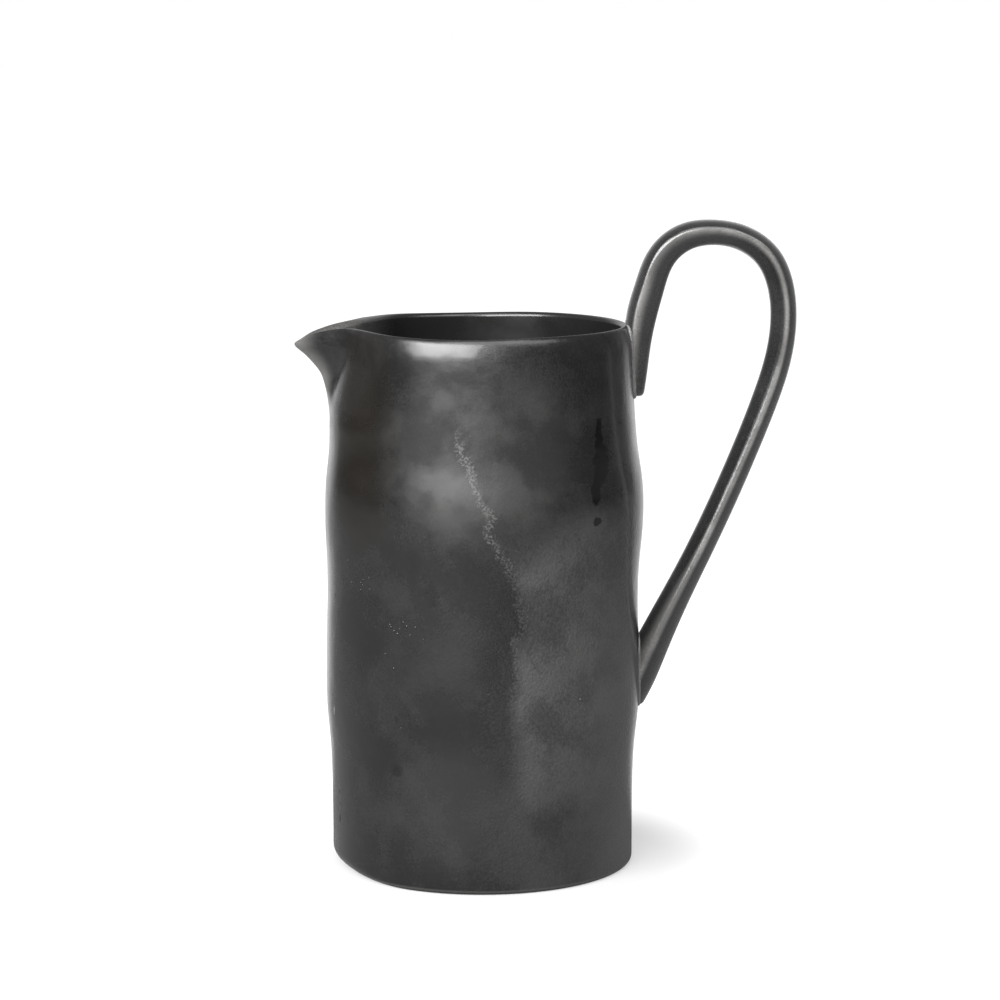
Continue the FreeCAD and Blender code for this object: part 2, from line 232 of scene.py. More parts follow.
def grid_faces(rows, columns, close_rows, close_columns):
    """Four-sided faces of a grid of points, closed round one way, both or neither."""
    faces = []
    for i in range(rows if close_rows else rows - 1):
        low = i * columns
        high = ((i + 1) % rows) * columns
        for j in range(columns if close_columns else columns - 1):
            after = (j + 1) % columns
            faces.append((low + j, low + after, high + after, high + j))
    return faces


# Rows of points up the wall, and the steps between its columns, fine up to an angle from the spout
WALL_ROWS = 150
WALL_INNER_ROWS = 56
LIP_ROWS = 11
FINE_STEP = 0.75
WIDE_STEP = 1.25
FINE_ANGLE = 60.0


def wall_columns():
    """Turns of the wall's columns, and which of them lie in the notch of the spout."""
    notch = np.arange(-NOTCH_ANGLE, NOTCH_ANGLE, FINE_STEP)
    notch[-1] = NOTCH_ANGLE
    near = np.linspace(NOTCH_ANGLE, FINE_ANGLE, round((FINE_ANGLE - NOTCH_ANGLE) / FINE_STEP) + 1)
    far_span = 360 - 2 * FINE_ANGLE
    far = np.linspace(FINE_ANGLE, 360 - FINE_ANGLE, round(far_span / WIDE_STEP) + 1)[1:-1]
    turns = np.concatenate([notch, near, far, 360 - near[::-1]])
    turns = np.where(turns > 180, turns - 360, turns)
    in_notch = np.arange(len(turns)) < len(notch)
    return turns, in_notch


def make_body_wall():
    """The wall as one closed sheet over the rim, cut down to the spout's V in the notch."""
    turns, in_notch = wall_columns()
    radii, heights = lip_section(turns, LIP_ROWS)
    cut = notch_height(np.minimum(np.abs(turns), NOTCH_ANGLE))
    across = np.linspace(0, 1, len(radii))[:, None]
    cut_radii = outer_radius(turns, cut) * (1 - across) + inner_radius(turns, cut) * across
    radii = np.where(in_notch, cut_radii, radii)
    heights = np.where(in_notch, cut, heights)
    outer = rows_between(SEAM_HEIGHT, heights[0], WALL_ROWS)
    inner = rows_between(SEAM_HEIGHT, heights[-1], WALL_INNER_ROWS)[::-1]
    all_heights = np.vstack([outer, heights, inner])
    all_radii = np.vstack([outer_radius(turns, outer), radii, inner_radius(turns, inner)])
    points = place(turns, all_radii, all_heights)
    rows, columns = all_radii.shape
    return new_piece("body_wall_shell", points.reshape(-1, 3), grid_faces(rows, columns, True, True))


# Rows and columns of the spout, whose columns lie closer together at its nose
SPOUT_ROWS = 70
SPOUT_INNER_ROWS = 46
SPOUT_COLUMNS = 161
NOSE_CROWDING = 1.6


def make_spout():
    """The beak that fills the V, hollowed by its channel and closed at its two side edges."""
    share = np.linspace(-1, 1, SPOUT_COLUMNS)
    turns = NOTCH_ANGLE * np.sign(share) * np.abs(share) ** NOSE_CROWDING
    radii, heights = lip_section(turns, LIP_ROWS)
    cut = notch_height(np.abs(turns))
    outer = rows_between(cut, heights[0], SPOUT_ROWS)
    inner = rows_between(cut, heights[-1], SPOUT_INNER_ROWS)[::-1]
    all_heights = np.vstack([outer, heights, inner])
    all_radii = np.vstack([outer_radius(turns, outer), radii, inner_radius(turns, inner)])
    points = place(turns, all_radii, all_heights)
    rows, columns = all_radii.shape
    faces = grid_faces(rows, columns, True, False)
    faces.append([i * columns for i in range(rows)])
    faces.append([i * columns + columns - 1 for i in range(rows)][::-1])
    return new_piece("pouring_spout", points.reshape(-1, 3), faces)


# The base: a floor, a rounded inner corner, a foot ring to stand on and a soft heel, which is worn
# more under the spout
FLOOR_HEIGHT = 6.5
CORNER_RADIUS = 5.0
HEEL_DEPTH = 2.2
HEEL_HEIGHT = 2.2
WORN_HEEL_DEPTH = 8.5
WORN_HEEL_HEIGHT = 6.5
HEEL_CHANGE = (18.0, 62.0)
FOOT_WIDTH = 9.0
FOOT_LEAST = 2.0
FOOT_RECESS = 1.5
BASE_COLUMNS = 240
ARC_STEPS = 10
FLAT_STEPS = 8


def make_base():
    """The floor slab, from the middle of its top out, down its side and in under the foot."""
    turns = np.linspace(-180, 180, BASE_COLUMNS, endpoint=False)
    arc = np.linspace(0, math.pi / 2, ARC_STEPS)
    side = outer_radius(turns, SEAM_HEIGHT)
    bore = inner_radius(turns, SEAM_HEIGHT)
    whole = ease(np.abs(turns), *HEEL_CHANGE)
    depth = WORN_HEEL_DEPTH + (HEEL_DEPTH - WORN_HEEL_DEPTH) * whole
    lift = WORN_HEEL_HEIGHT + (HEEL_HEIGHT - WORN_HEEL_HEIGHT) * whole
    shares = np.linspace(0, 1, FLAT_STEPS)
    rows = [(0.0, FLOOR_HEIGHT)]
    for share in shares[1:-1]:
        rows.append(((bore - CORNER_RADIUS) * share, FLOOR_HEIGHT))
    for a in arc:
        radius = bore - CORNER_RADIUS * (1 - np.sin(a))
        rows.append((radius, FLOOR_HEIGHT + CORNER_RADIUS * (1 - np.cos(a))))
    rows.append((bore, SEAM_HEIGHT))
    for share in shares[:-1]:
        rows.append((side, SEAM_HEIGHT + (lift - SEAM_HEIGHT) * share))
    for a in arc:
        rows.append((side - depth * (1 - np.cos(a)), lift * (1 - np.sin(a))))
    foot = side - np.maximum(FOOT_WIDTH, depth + FOOT_LEAST)
    rows.append((foot, 0.0))
    for a in arc:
        rows.append((foot - FOOT_RECESS * (1 - np.cos(a)), FOOT_RECESS * np.sin(a)))
    rows.append((0.0, FOOT_RECESS))
    radii = np.array([np.broadcast_to(r, turns.shape) for r, z in rows])
    heights = np.array([np.broadcast_to(z, turns.shape) for r, z in rows])
    points = place(turns, radii, heights)
    return new_piece("base_disc", points.reshape(-1, 3), grid_faces(len(rows), len(turns), False, True))


# The handle: its middle line from the tongue's tip over the loop to its foot, as x and z, its
# thickness and width at each of those points, and its section in shares of half of both
HANDLE_LINE = [(57.3, 178.2), (57.9, 187), (58.5, 197), (59.8, 208), (62.8, 219.3), (67.8, 231.6),
               (76.1, 238.4), (86.4, 240.2), (97.3, 238.2), (107.1, 231.1), (112.1, 220), (113.3, 207),
               (111.6, 193.5), (106.8, 177.5), (99.3, 158), (89.5, 135), (78.6, 111.9), (70.0, 94.5),
               (63.7, 81), (58.4, 69.5), (54.5, 62.0)]
HANDLE_THICKNESSES = [7.2, 8.6, 9.9, 11.4, 11.3, 10.9, 10.4, 9.6, 9.6, 9.9, 9.9, 9.9,
                      10.0, 10.0, 9.9, 10.0, 10.4, 11.7, 13.2, 14.0, 13.8]
HANDLE_WIDTHS = [12.4, 13.4, 14.2, 13.6, 13.0, 13.0, 13.0, 13.0, 13.0, 13.0, 13.0, 13.0,
                 13.0, 13.0, 13.0, 13.2, 13.4, 13.8, 14.6, 15.2, 15.4]
SECTION = [(1.0, 0.0), (0.86, 0.52), (0.52, 0.88), (0.24, 1.0), (-0.04, 0.93), (-0.32, 0.77),
           (-0.64, 0.52), (-0.92, 0.25), (-1.0, 0.0)]

# The section's ridge wanders inwards along the handle, in shares of half its thickness
SHIFT_SPAN = (0.05, 0.95)
RIDGE_SHIFTS = (0.16, -0.27)

# Steps along the handle and round its section, how far from its ends the rounding starts, and by how
# many points the section's ring laps over itself, so that its curve closes smoothly
HANDLE_STEPS = 400
SECTION_STEPS = 72
END_LENGTH = 3.0
SECTION_LAP = 3


def along(points):
    """Lengths along a chain of points, from 0."""
    gaps = np.linalg.norm(np.diff(np.asarray(points, float), axis=0), axis=1)
    return np.concatenate([[0.0], np.cumsum(gaps)])


def handle_stations():
    """Middle, thickness and width at each step along the handle."""
    lengths = along(HANDLE_LINE)
    steps = np.linspace(0, lengths[-1], HANDLE_STEPS)
    line = smooth_curve(lengths, HANDLE_LINE)(steps)
    middle = np.stack([line[:, 0], np.zeros(len(steps)), line[:, 1]], axis=-1)
    from_end = np.minimum(steps, lengths[-1] - steps)
    close = np.clip(1 - from_end / END_LENGTH, 0, 1)
    rounding = (1 - close ** 3) ** (1 / 3)
    thickness = smooth_curve(lengths, HANDLE_THICKNESSES)(steps) * rounding
    width = smooth_curve(lengths, HANDLE_WIDTHS)(steps) * rounding
    return middle, thickness, width


def section_points():
    """The handle's section as a ring of shares of half its thickness and half its width."""
    ring = SECTION + [(p, -q) for p, q in SECTION[-2:0:-1]]
    wrapped = ring[-SECTION_LAP:] + ring + ring[:SECTION_LAP + 1]
    lengths = along(wrapped)
    curve = smooth_curve(lengths, wrapped)
    first = lengths[SECTION_LAP]
    last = lengths[SECTION_LAP + len(ring)]
    return curve(np.linspace(first, last, SECTION_STEPS, endpoint=False))


def handle_grid():
    """Points of the handle's skin, one ring for each station."""
    middle, thickness, width = handle_stations()
    run = np.gradient(middle, axis=0)
    run /= np.linalg.norm(run, axis=1)[:, None]
    outward = np.cross(run, [0.0, 1.0, 0.0])
    ring = section_points()
    share = ease(np.linspace(0, 1, len(middle)), *SHIFT_SPAN)[:, None]
    shift = RIDGE_SHIFTS[0] + (RIDGE_SHIFTS[1] - RIDGE_SHIFTS[0]) * share
    rise_share = ring[:, 0] + shift * (1 - ring[:, 0] ** 2)
    rise = (thickness[:, None] / 2 * rise_share)[..., None] * outward[:, None, :]
    side = (width[:, None] / 2 * ring[:, 1])[..., None] * np.array([0.0, 1.0, 0.0])
    return middle[:, None, :] + rise + side


class Value:
    """One output in a node tree, so that sums of outputs read as arithmetic."""

    def __init__(self, nodes, socket):
        self.nodes = nodes
        self.socket = socket

    def also(self, name):
        """Another output of the same node."""
        return Value(self.nodes, self.socket.node.outputs[name])

    def maths(self, operation, *terms):
        return self.nodes.add("ShaderNodeMath", {"operation": operation}, dict(enumerate(terms)))

    def __add__(self, other):
        return self.maths("ADD", self, other)

    def __sub__(self, other):
        return self.maths("SUBTRACT", self, other)

    def __rsub__(self, other):
        return self.maths("SUBTRACT", other, self)

    def __mul__(self, other):
        return self.maths("MULTIPLY", self, other)

    def __truediv__(self, other):
        return self.maths("DIVIDE", self, other)

    def __rtruediv__(self, other):
        return self.maths("DIVIDE", other, self)

    def __abs__(self):
        return self.maths("ABSOLUTE", self)

    def larger(self, other):
        return self.maths("MAXIMUM", self, other)

    __radd__ = __add__
    __rmul__ = __mul__


class Nodes:
    """A node tree that is filled by one method."""

    def __init__(self, tree):
        self.tree = tree
        tree.nodes.clear()

    def add(self, kind, settings, inputs, output=0):
        """Adds a node with its settings, fills or links its inputs, and gives one output."""
        node = self.tree.nodes.new(kind)
        for name, value in settings.items():
            setattr(node, name, value)
        for name, value in inputs.items():
            if isinstance(value, Value):
                self.tree.links.new(value.socket, node.inputs[name])
            else:
                node.inputs[name].default_value = value
        return Value(self, node.outputs[output]) if len(node.outputs) else None

    def vector(self, operation, *terms):
        return self.add("ShaderNodeVectorMath", {"operation": operation}, dict(enumerate(terms)))

    def scaled(self, vector, share):
        return self.add("ShaderNodeVectorMath", {"operation": "SCALE"}, {0: vector, "Scale": share})

    def ease(self, value, low, high, to_low=0.0, to_high=1.0):
        """A smooth change from to_low to to_high while value goes from low to high."""
        ends = {"Value": value, "From Min": low, "From Max": high, "To Min": to_low, "To Max": to_high}
        return self.add("ShaderNodeMapRange", {"interpolation_type": "SMOOTHSTEP"}, ends)

    def mix_colours(self, share, first, second):
        """A colour between two others. The node's colours are its inputs 6 and 7 and output 2."""
        inputs = {"Factor": share, 6: first, 7: second}
        return self.add("ShaderNodeMix", {"data_type": "RGBA"}, inputs, 2)

    def length(self, vector):
        return self.add("ShaderNodeVectorMath", {"operation": "LENGTH"}, {0: vector}, "Value")

    def axes(self, vector):
        """The x, y and z of a vector."""
        x = self.add("ShaderNodeSeparateXYZ", {}, {"Vector": vector}, "X")
        return x, x.also("Y"), x.also("Z")

    def note(self, geometry, name, value):
        """Stores a number at each point of a shape, for its material to read."""
        settings = {"data_type": "FLOAT", "domain": "POINT"}
        inputs = {"Geometry": geometry, "Name": name, "Value": value}
        return self.add("GeometryNodeStoreNamedAttribute", settings, inputs)


class GeometryRule:
    """A Geometry Nodes group with named inputs, and the piece that it makes."""

    def __init__(self, name, inputs):
        self.name = name
        self.tree = bpy.data.node_groups.new(name, "GeometryNodeTree")
        self.tree.is_modifier = True
        self.nodes = Nodes(self.tree)
        kinds = {"Geometry": "NodeSocketGeometry", "Material": "NodeSocketMaterial", **inputs}
        for label, kind in kinds.items():
            self.tree.interface.new_socket(label, in_out="INPUT", socket_type=kind)
        self.tree.interface.new_socket("Geometry", in_out="OUTPUT", socket_type="NodeSocketGeometry")
        self.entry = self.nodes.add("NodeGroupInput", {}, {})

    def input(self, label):
        return self.entry.also(label)

    def finish(self, geometry):
        """Ends the group: one mesh, smooth, in the given glaze."""
        nodes = self.nodes
        whole = nodes.add("GeometryNodeRealizeInstances", {}, {"Geometry": geometry})
        smooth = nodes.add("GeometryNodeSetShadeSmooth", {}, {"Geometry": whole})
        glazed = {"Geometry": smooth, "Material": self.input("Material")}
        done = nodes.add("GeometryNodeSetMaterial", {}, glazed)
        nodes.add("NodeGroupOutput", {}, {"Geometry": done})

    def make(self, holder, values):
        """Runs the group on a holder object and keeps the result as a plain mesh object."""
        modifier = holder.modifiers.new(self.name, "NODES")
        modifier.node_group = self.tree
        for item in self.tree.interface.items_tree:
            if item.in_out == "INPUT" and item.name in values:
                modifier[item.identifier] = values[item.name]
        bpy.context.view_layer.update()
        ready = holder.evaluated_get(bpy.context.evaluated_depsgraph_get())
        mesh = bpy.data.meshes.new_from_object(ready)
        holder.modifiers.clear()
        bpy.data.objects.remove(holder)
        mesh.name = self.name
        piece = bpy.data.objects.new(self.name, mesh)
        bpy.context.scene.collection.objects.link(piece)
        return piece


def chain(name, points, closed, attributes):
    """A chain of points with one value of each attribute per point, for a rule to work on."""
    count = len(points)
    edges = [(i, (i + 1) % count) for i in range(count if closed else count - 1)]
    mesh = bpy.data.meshes.new(name)
    mesh.from_pydata([tuple(point) for point in points], edges, [])
    for label, values in attributes.items():
        layer = mesh.attributes.new(label, "FLOAT", "POINT")
        layer.data.foreach_set("value", [float(value) for value in values])
    holder = bpy.data.objects.new(name, mesh)
    bpy.context.scene.collection.objects.link(holder)
    return holder


# The handle's worn ridge, in shares of half its thickness, painted pale: partly wear, partly a painted
# highlight. It is wide on the tongue, narrow over the loop and wide again at the foot
RIDGE_RISE = 0.2
RIDGE_OUTER_END = (0.25, 0.46)
RIDGE_INNER_ENDS = (-0.42, -0.1)
RIDGE_NARROWS = (0.2, 0.42)
RIDGE_WIDENS = (0.7, 0.9)
RIDGE_FOOT_WIDTH = 0.5

# The sheet that is bent into the handle's skin is 1 by 1 and centred, so its places are shares
SHEET_HALF = 0.5


def handle_rule():
    """Sweeps the section along the rail, with its own thickness and width at each place."""
    sizes = {"Section": "NodeSocketObject", "Stations": "NodeSocketInt", "Ring Points": "NodeSocketInt"}
    rule = GeometryRule("pulled_handle", sizes)
    nodes = rule.nodes
    rail = nodes.add("GeometryNodeMeshToCurve", {}, {"Mesh": rule.input("Geometry")})
    shown = nodes.add("GeometryNodeObjectInfo", {}, {"Object": rule.input("Section")}, "Geometry")
    section = nodes.add("GeometryNodeMeshToCurve", {}, {"Mesh": shown})
    counts = {"Size X": 2.0 * SHEET_HALF, "Size Y": 2.0 * SHEET_HALF,
              "Vertices X": rule.input("Ring Points"), "Vertices Y": rule.input("Stations")}
    sheet = nodes.add("GeometryNodeMeshGrid", {}, counts, "Mesh")
    sheet_x, sheet_y, _ = nodes.axes(nodes.add("GeometryNodeInputPosition", {}, {}))
    round_share = sheet_x + SHEET_HALF
    along_share = sheet_y + SHEET_HALF

    def sample(curve, share, value):
        inputs = {"Curves": curve, "Value": value, "Factor": share}
        return nodes.add("GeometryNodeSampleCurve", {"mode": "FACTOR"}, inputs, "Value")

    def noted(label):
        return nodes.add("GeometryNodeInputNamedAttribute", {"data_type": "FLOAT"}, {"Name": label})

    thickness = sample(rail, along_share, noted("thickness"))
    width = sample(rail, along_share, noted("width"))
    ring, ring_side, _ = nodes.axes(sample(section, round_share, 0.0).also("Position"))
    across = (0.0, 1.0, 0.0)
    out = nodes.vector("NORMALIZE", nodes.vector("CROSS_PRODUCT", thickness.also("Tangent"), across))
    shift = nodes.ease(along_share, *SHIFT_SPAN, *RIDGE_SHIFTS)
    rise = nodes.scaled(out, thickness / 2.0 * (ring + shift * (1.0 - ring * ring)))
    side = nodes.scaled(across, width / 2.0 * ring_side)
    skin = nodes.vector("ADD", nodes.vector("ADD", thickness.also("Position"), rise), side)
    inner_end = nodes.ease(along_share, *RIDGE_NARROWS, *RIDGE_INNER_ENDS)
    inner_end = inner_end - nodes.ease(along_share, *RIDGE_WIDENS, 0.0, RIDGE_FOOT_WIDTH)
    # ridge mark for pale paint: worn glaze and a painted highlight
    ridge = nodes.ease(ring, inner_end, RIDGE_RISE) * nodes.ease(ring, *RIDGE_OUTER_END, 1.0, 0.0)
    marked = nodes.note(sheet, "ridge", ridge)
    swept = nodes.add("GeometryNodeSetPosition", {}, {"Geometry": marked, "Position": skin})
    joined = {"Geometry": swept, "Distance": MERGE_DISTANCE * MM}
    rule.finish(nodes.add("GeometryNodeMergeByDistance", {}, joined))
    return rule


def make_handle(glaze):
    middle, thickness, width = handle_stations()
    rail = chain("rail", middle * MM, False, {"thickness": thickness * MM, "width": width * MM})
    section = chain("section", [(x, y, 0) for x, y in section_points()], True, {})
    values = {"Material": glaze, "Section": section, "Stations": HANDLE_STEPS,
              "Ring Points": SECTION_STEPS + 1}
    piece = handle_rule().make(rail, values)
    bpy.data.objects.remove(section)
    return face_out(piece)


# The slip: a thin uneven bead of clay where the handle's skin meets the wall, near each end of
# the handle's length, which runs from 0 to 1
UPPER_MEETING = (0.0, 0.2)
LOWER_MEETING = (0.75, 1.0)
UPPER_BEAD_RADIUS = 1.0
LOWER_BEAD_RADIUS = 0.7
BEAD_SIDES = 12
BEAD_STEP = 0.9
BEAD_UNEVENNESS = 0.35
BEAD_LUMP_SIZE = 4.0
BEAD_LUMP_DETAIL = 1.0


def skin_radius(turn, height):
    """Radius of the wall's outside with its rounded rim, and 0 over the rim."""
    top = rim_top(turn)
    up = np.clip(1 - (top - height) / RIM_OUTER_HEIGHT, 0, 1)
    round_over = RIM_OUTER_DEPTH * (1 - np.sqrt(1 - up * up))
    return np.where(height < top, outer_radius(turn, height) - round_over, 0.0)


def meeting_line(first, last):
    """Where the handle's skin meets the wall, between two shares of the handle's length.

    A ring of the skin that goes through the wall twice gives a point on each side.
    """
    grid = handle_grid()
    count = len(grid)
    one_side, other_side = [], []
    for ring in grid[int(first * count):int(last * count)]:
        turn = np.degrees(np.arctan2(ring[:, 1], ring[:, 0])) + 180
        turn = np.where(turn > 180, turn - 360, turn)
        clear = np.hypot(ring[:, 0], ring[:, 1]) - skin_radius(turn, ring[:, 2])
        after = np.roll(clear, -1)
        crossings = np.flatnonzero((clear > 0) != (after > 0))
        if len(crossings) != 2:
            continue
        share = (clear[crossings] / (clear[crossings] - after[crossings]))[:, None]
        points = ring[crossings] * (1 - share) + np.roll(ring, -1, axis=0)[crossings] * share
        points = points[np.argsort(points[:, 1])]
        one_side.append(points[0])
        other_side.append(points[1])
    return np.array(one_side + other_side[::-1])


def bead_rule(name):
    """A round bead along a closed line, thicker and thinner as it goes."""
    sizes = {"Radius": "NodeSocketFloat", "Step": "NodeSocketFloat", "Unevenness": "NodeSocketFloat",
             "Lump Size": "NodeSocketFloat", "Sides": "NodeSocketInt"}
    rule = GeometryRule(name, sizes)
    nodes = rule.nodes
    line = nodes.add("GeometryNodeMeshToCurve", {}, {"Mesh": rule.input("Geometry")})
    even = {"Curve": line, "Length": rule.input("Step")}
    path = nodes.add("GeometryNodeResampleCurve", {"mode": "LENGTH"}, even)
    position = nodes.add("GeometryNodeInputPosition", {}, {})
    lumps = {"Vector": position, "Scale": 1.0 / rule.input("Lump Size"), "Detail": BEAD_LUMP_DETAIL}
    uneven = nodes.add("ShaderNodeTexNoise", {}, lumps)
    thicker = 1.0 + (uneven - NOISE_MIDDLE) * 2.0 * rule.input("Unevenness")
    thick_path = nodes.add("GeometryNodeSetCurveRadius", {}, {"Curve": path, "Radius": thicker})
    ring = {"Resolution": rule.input("Sides"), "Radius": rule.input("Radius")}
    circle = nodes.add("GeometryNodeCurvePrimitiveCircle", {}, ring)
    bead = nodes.add("GeometryNodeCurveToMesh", {}, {"Curve": thick_path, "Profile Curve": circle})
    # The whole bead takes the handle glaze's pale ridge paint, a painted highlight on the slip
    rule.finish(nodes.note(bead, "ridge", 1.0))
    return rule


def make_bead(name, first, last, radius, glaze):
    holder = chain("line", meeting_line(first, last) * MM, True, {})
    values = {"Material": glaze, "Radius": radius * MM, "Step": BEAD_STEP * MM, "Sides": BEAD_SIDES,
              "Unevenness": BEAD_UNEVENNESS, "Lump Size": BEAD_LUMP_SIZE * MM}
    return face_out(bead_rule(name).make(holder, values))


def make_upper_slip(glaze):
    return make_bead("upper_slip", *UPPER_MEETING, UPPER_BEAD_RADIUS, glaze)


def make_lower_slip(glaze):
    return make_bead("lower_slip", *LOWER_MEETING, LOWER_BEAD_RADIUS, glaze)


# Pips of glaze that stand on the wall: degrees from the spout, height and number of each group, how
# far they scatter, and their least and greatest radius
PIP_GROUPS = [(33.1, 120.3, 2), (36.4, 114.8, 4), (45.4, 114.4, 6), (55.3, 99.6, 3), (61.0, 99.0, 5),
              (65.5, 99.8, 3), (54.9, 83.6, 2), (58.0, 65.0, 1), (128.0, 70.0, 3), (250.0, 95.0, 5),
              (305.0, 130.0, 4), (220.0, 60.0, 4)]
PIP_SPREAD = 2.6
PIP_RADII = (0.28, 0.62)
PIP_HEIGHT_SHARE = 0.5
PIP_SIDES = 14
PIP_RINGS = 8
PIP_SEED = 7


def pip_rule():
    """One flat drop of glaze on each point, turned to the wall and of its own size.

    The random node's limits for a number are its inputs 2 and 3, and the number is output 1.
    """
    sizes = {"Least Radius": "NodeSocketFloat", "Greatest Radius": "NodeSocketFloat",
             "Height Share": "NodeSocketFloat", "Sides": "NodeSocketInt", "Rings": "NodeSocketInt",
             "Seed": "NodeSocketInt"}
    rule = GeometryRule("glaze_pips", sizes)
    nodes = rule.nodes
    position = nodes.add("GeometryNodeInputPosition", {}, {})
    outward = nodes.vector("MULTIPLY", position, (1.0, 1.0, 0.0))
    turned = nodes.add("FunctionNodeAlignRotationToVector", {"axis": "Z"}, {"Vector": outward})
    radii = {2: rule.input("Least Radius"), 3: rule.input("Greatest Radius"), "Seed": rule.input("Seed")}
    radius = nodes.add("FunctionNodeRandomValue", {"data_type": "FLOAT"}, radii, 1)
    shape = {"X": 1.0, "Y": 1.0, "Z": rule.input("Height Share")}
    stretch = nodes.scaled(nodes.add("ShaderNodeCombineXYZ", {}, shape), radius)
    ball = {"Segments": rule.input("Sides"), "Rings": rule.input("Rings"), "Radius": 1.0}
    drop = nodes.add("GeometryNodeMeshUVSphere", {}, ball, "Mesh")
    placed = {"Points": rule.input("Geometry"), "Instance": drop, "Rotation": turned, "Scale": stretch}
    rule.finish(nodes.add("GeometryNodeInstanceOnPoints", {}, placed))
    return rule


def make_pips(glaze):
    chance = np.random.default_rng(PIP_SEED)
    points = []
    for turn, height, count in PIP_GROUPS:
        spread = chance.normal(0.0, PIP_SPREAD, (count, 2))
        turns = turn + spread[:, 0]
        heights = height + spread[:, 1]
        wrapped = np.where(turns > 180, turns - 360, turns)
        points.extend(place(turns, outer_radius(wrapped, heights), heights) * MM)
    holder = chain("points", points, False, {})
    values = {"Material": glaze, "Least Radius": PIP_RADII[0] * MM, "Greatest Radius": PIP_RADII[1] * MM,
              "Height Share": PIP_HEIGHT_SHARE, "Sides": PIP_SIDES, "Rings": PIP_RINGS, "Seed": PIP_SEED}
    return face_out(pip_rule().make(holder, values))


def face_out(piece):
    """Turns all faces of a closed piece outwards."""
    work = bmesh.new()
    work.from_mesh(piece.data)
    bmesh.ops.recalc_face_normals(work, faces=work.faces)
    work.to_mesh(piece.data)
    work.free()
    return piece


def new_material(name):
    material = bpy.data.materials.new(name)
    material.use_nodes = True
    return material, Nodes(material.node_tree)


def noise(nodes, place_in_mm, size, detail=2.0, stretch=(1.0, 1.0, 1.0)):
    """Soft random values from 0 to 1 with lumps of about the given size in millimetres."""
    spaced = nodes.vector("MULTIPLY", place_in_mm, stretch)
    return nodes.add("ShaderNodeTexNoise", {}, {"Vector": spaced, "Scale": 1.0 / size, "Detail": detail})


def spot(nodes, place_in_mm, centre, reach, softness):
    """1 inside an ellipsoid round a place on the jug, 0 outside it."""
    away = nodes.vector("DIVIDE", nodes.vector("SUBTRACT", place_in_mm, centre), reach)
    return nodes.ease(nodes.length(away), 1.0 - softness, 1.0 + softness, 1.0, 0.0)


def spots(nodes, place_in_mm, places, softness):
    """Several spots that run into one another."""
    joined = spot(nodes, place_in_mm, *places[0], softness)
    for centre, reach in places[1:]:
        joined = joined.larger(spot(nodes, place_in_mm, centre, reach, softness))
    return joined


# Colours of the glaze, and of the light and reflections painted on it
CHARCOAL = (0.0045, 0.0044, 0.0045, 1)
THIN_GLAZE = (0.036, 0.035, 0.034, 1)
# Matt glaze, made paler partly as painted light
MATT_GLAZE_AND_PAINTED_LIGHT = (0.044, 0.0435, 0.043, 1)
# Brown painted in as a reflection beside the spout
PAINTED_BROWN_REFLECTION = (0.0070, 0.0057, 0.0042, 1)
POOLED_GLAZE = (0.0012, 0.0011, 0.0011, 1)
# Pale worn glaze, also used for painted highlights and reflections
WORN_GLAZE_AND_HIGHLIGHT = (0.18, 0.177, 0.172, 1)
INSIDE_GLAZE = (0.0090, 0.0088, 0.0087, 1)
# Pale lining, also used for painted light and painted reflections outside
PALE_LINING_AND_PAINTED_LIGHT = (0.075, 0.073, 0.071, 1)
# Painted light for the deep inside
PAINTED_LIGHT_DEEP_DOWN = (0.06, 0.059, 0.058, 1)

# The four textures of every glaze: the size of their lumps in millimetres, and their detail
CLOUD_SIZE = 21.0
CLOUD_DETAIL = 4.0
CLOUD_RANGE = (0.36, 0.68)
LUMP_SIZE = 13.0
GRAIN_SIZE = 0.8
PEEL_SIZE = 1.1
PEEL_DETAIL = 1.5

# How far the textures dull the glaze and lift its skin, and the clear coat over it
CLOUD_DULLING = 0.6
GRAIN_DULLING = 0.4
DULLING_RANGE = (0.15, 0.85)
ROUGHNESS_RANGE = (0.24, 0.33)
LUMP_RELIEF = 0.26
COAT_SHARE = 0.3
COAT_ROUGHNESS = 0.14


